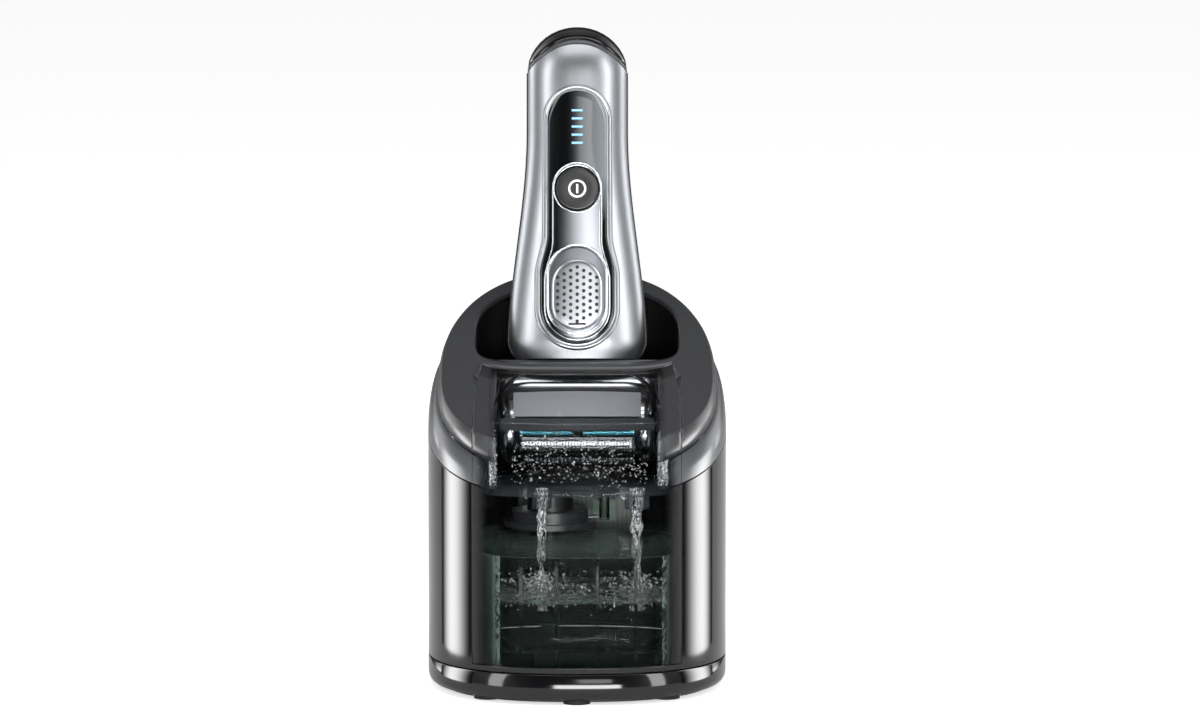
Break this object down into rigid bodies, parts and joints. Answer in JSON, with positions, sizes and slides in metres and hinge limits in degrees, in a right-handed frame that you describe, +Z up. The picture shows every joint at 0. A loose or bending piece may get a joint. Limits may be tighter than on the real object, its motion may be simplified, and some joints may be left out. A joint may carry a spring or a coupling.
{
  "type": "electric shaver with cleaning station",
  "caption": "Foil shaver docked head down in its clean-and-charge station, with smoked window, wash bowl, pump and fluid cartridge.",
  "frame": {"origin": "centre of the standing face, under the middle of the bounding box", "axes": "+Z up, -Y towards the user (the window and the power button face -Y), +X to the right"},
  "size_m": [0.1094, 0.116, 0.2381],
  "materials": {
    "foot_rubber": "matt moulded rubber",
    "inner_black": "moulded black ABS",
    "station_black": "polished black ABS",
    "steel": "drawn steel",
    "cartridge_clear": "clear grey-green polypropylene",
    "cartridge_grey": "grey polypropylene",
    "fluid": "clear pale blue cleaning fluid",
    "collar_grey": "satin dark grey ABS",
    "deck_grey": "satin charcoal ABS",
    "smoked_window": "smoked clear polycarbonate",
    "bowl_smoke": "smoked clear polycarbonate",
    "pump_grey": "grey acetal",
    "board_green": "solder-masked circuit board",
    "contact_gold": "gilt contact",
    "satin_silver": "satin metallised shell",
    "handle_black": "polished black ABS",
    "band_grey": "satin dark grey ABS",
    "bright_silver": "bright chamfered trim",
    "inlay_gloss": "high-gloss black panel",
    "charge_light": "lit light guide",
    "chrome_ring": "chrome-plated trim",
    "white_print": "white print",
    "frame_grey": "glass-filled nylon",
    "battery_wrap": "shrink-wrapped cell",
    "yoke_grey": "dark glossy ABS",
    "head_chrome": "bright metallised housing",
    "motor_copper": "wound coil and yoke",
    "cassette_grey": "satin grey plastic",
    "foil_steel": "etched steel foil",
    "trimmer_teal": "teal titanium-coated comb"
  },
  "bodies": {
    "base": {"base_tray": "station_black", "base_plate": "inner_black", "feet": "foot_rubber", "guide_posts": "steel", "lift_springs": "steel", "cartridge_tub": "cartridge_clear", "cartridge_lid": "cartridge_clear", "cartridge_baffles": "cartridge_grey", "cleaning_fluid": "fluid"},
    "housing": {"lower_body": "station_black", "collar": "collar_grey", "deck": "deck_grey", "front_window": "smoked_window", "collar_window": "smoked_window", "deck_window": "smoked_window", "well_liner": "inner_black", "wash_bowl": "bowl_smoke", "drain_spouts": "inner_black", "lift_sleeves": "inner_black", "pump_housing": "inner_black", "pump_motor": "steel", "suction_tube": "inner_black", "delivery_tube": "inner_black", "station_pcb": "board_green", "station_contacts": "contact_gold", "power_inlet": "inner_black", "pcb_screws": "steel"},
    "impeller": {"pump_impeller": "pump_grey"},
    "latch": {"lift_button": "inner_black"},
    "shaver": {"front_shell": "satin_silver", "rear_shell": "handle_black", "end_band": "band_grey", "end_cap": "handle_black", "inlay_rim": "bright_silver", "inlay": "inlay_gloss", "charge_bars": "charge_light", "button_ring": "chrome_ring", "lock_bezel": "chrome_ring", "main_frame": "frame_grey", "battery": "battery_wrap", "main_pcb": "board_green", "charging_contacts": "contact_gold", "head_yoke": "yoke_grey"},
    "button": {"power_button": "inlay_gloss", "power_symbol": "white_print"},
    "lock": {"lock_switch": "satin_silver"},
    "trimmer": {"trimmer_slide": "inner_black", "trimmer_blade": "foil_steel"},
    "head": {"head_housing": "head_chrome", "drive_motor": "motor_copper", "cassette_frame": "cassette_grey"},
    "drive": {"drive_bridge": "pump_grey"},
    "front_foil": {"foil_front": "foil_steel"},
    "front_cutter": {"cutter_front": "steel"},
    "rear_foil": {"foil_rear": "foil_steel"},
    "rear_cutter": {"cutter_rear": "steel"},
    "comb": {"middle_trimmer": "trimmer_teal"},
    "left_release": {"release_left": "frame_grey"},
    "right_release": {"release_right": "frame_grey"}
  },
  "joints": [
    {"name": "housing_lift", "type": "slide", "parent": "base", "child": "housing", "axis": [0, 0, 1], "range_m": [0, 0.052], "deforming": ["lift_springs"]},
    {"name": "lift_button_press", "type": "slide", "parent": "housing", "child": "latch", "axis": [0, -1, 0], "range_m": [0, 0.003], "stiffness_N_per_m": 300},
    {"name": "impeller_spin", "type": "hinge", "parent": "housing", "child": "impeller", "pos_m": [-0.01, 0.016, 0.058], "axis": [0, 0, 1], "continuous": true},
    {"name": "shaver_lift", "type": "slide", "parent": "housing", "child": "shaver", "axis": [0, 0.1736, 0.9848], "range_m": [0, 0.1]},
    {"name": "power_button_press", "type": "slide", "parent": "shaver", "child": "button", "axis": [0, 0.9848, -0.1736], "range_m": [0, 0.001], "stiffness_N_per_m": 400},
    {"name": "lock_slide", "type": "slide", "parent": "shaver", "child": "lock", "axis": [0, 0.1736, 0.9848], "range_m": [0, 0.004]},
    {"name": "trimmer_slide_out", "type": "slide", "parent": "shaver", "child": "trimmer", "axis": [0, -0.1736, -0.9848], "range_m": [0, 0.006]},
    {"name": "head_pivot", "type": "hinge", "parent": "shaver", "child": "head", "pos_m": [0, 0.0215, 0.1], "axis": [1, 0, 0], "range_deg": [-4, 36], "stiffness_Nm_per_rad": 0.4},
    {"name": "drive_oscillation", "type": "slide", "parent": "head", "child": "drive", "axis": [1, 0, 0], "range_m": [-0.001, 0.001], "stiffness_N_per_m": 500},
    {"name": "front_foil_float", "type": "slide", "parent": "head", "child": "front_foil", "axis": [0, 0.4384, 0.8988], "range_m": [0, 0.0016], "stiffness_N_per_m": 300},
    {"name": "front_cutter_slide", "type": "slide", "parent": "front_foil", "child": "front_cutter", "axis": [1, 0, 0], "range_m": [-0.001, 0.001]},
    {"name": "rear_foil_float", "type": "slide", "parent": "head", "child": "rear_foil", "axis": [0, 0.4384, 0.8988], "range_m": [0, 0.0016], "stiffness_N_per_m": 300},
    {"name": "rear_cutter_slide", "type": "slide", "parent": "rear_foil", "child": "rear_cutter", "axis": [1, 0, 0], "range_m": [-0.001, 0.001]},
    {"name": "comb_float", "type": "slide", "parent": "head", "child": "comb", "axis": [0, 0.4384, 0.8988], "range_m": [0, 0.0016], "stiffness_N_per_m": 300},
    {"name": "left_release_press", "type": "slide", "parent": "head", "child": "left_release", "axis": [1, 0, 0], "range_m": [0, 0.001], "stiffness_N_per_m": 400},
    {"name": "right_release_press", "type": "slide", "parent": "head", "child": "right_release", "axis": [-1, 0, 0], "range_m": [0, 0.001], "stiffness_N_per_m": 400}
  ],
  "couplings": [
    {"joint": "front_cutter_slide", "follows": "drive_oscillation", "ratio": 1},
    {"joint": "rear_cutter_slide", "follows": "drive_oscillation", "ratio": 1}
  ]
}
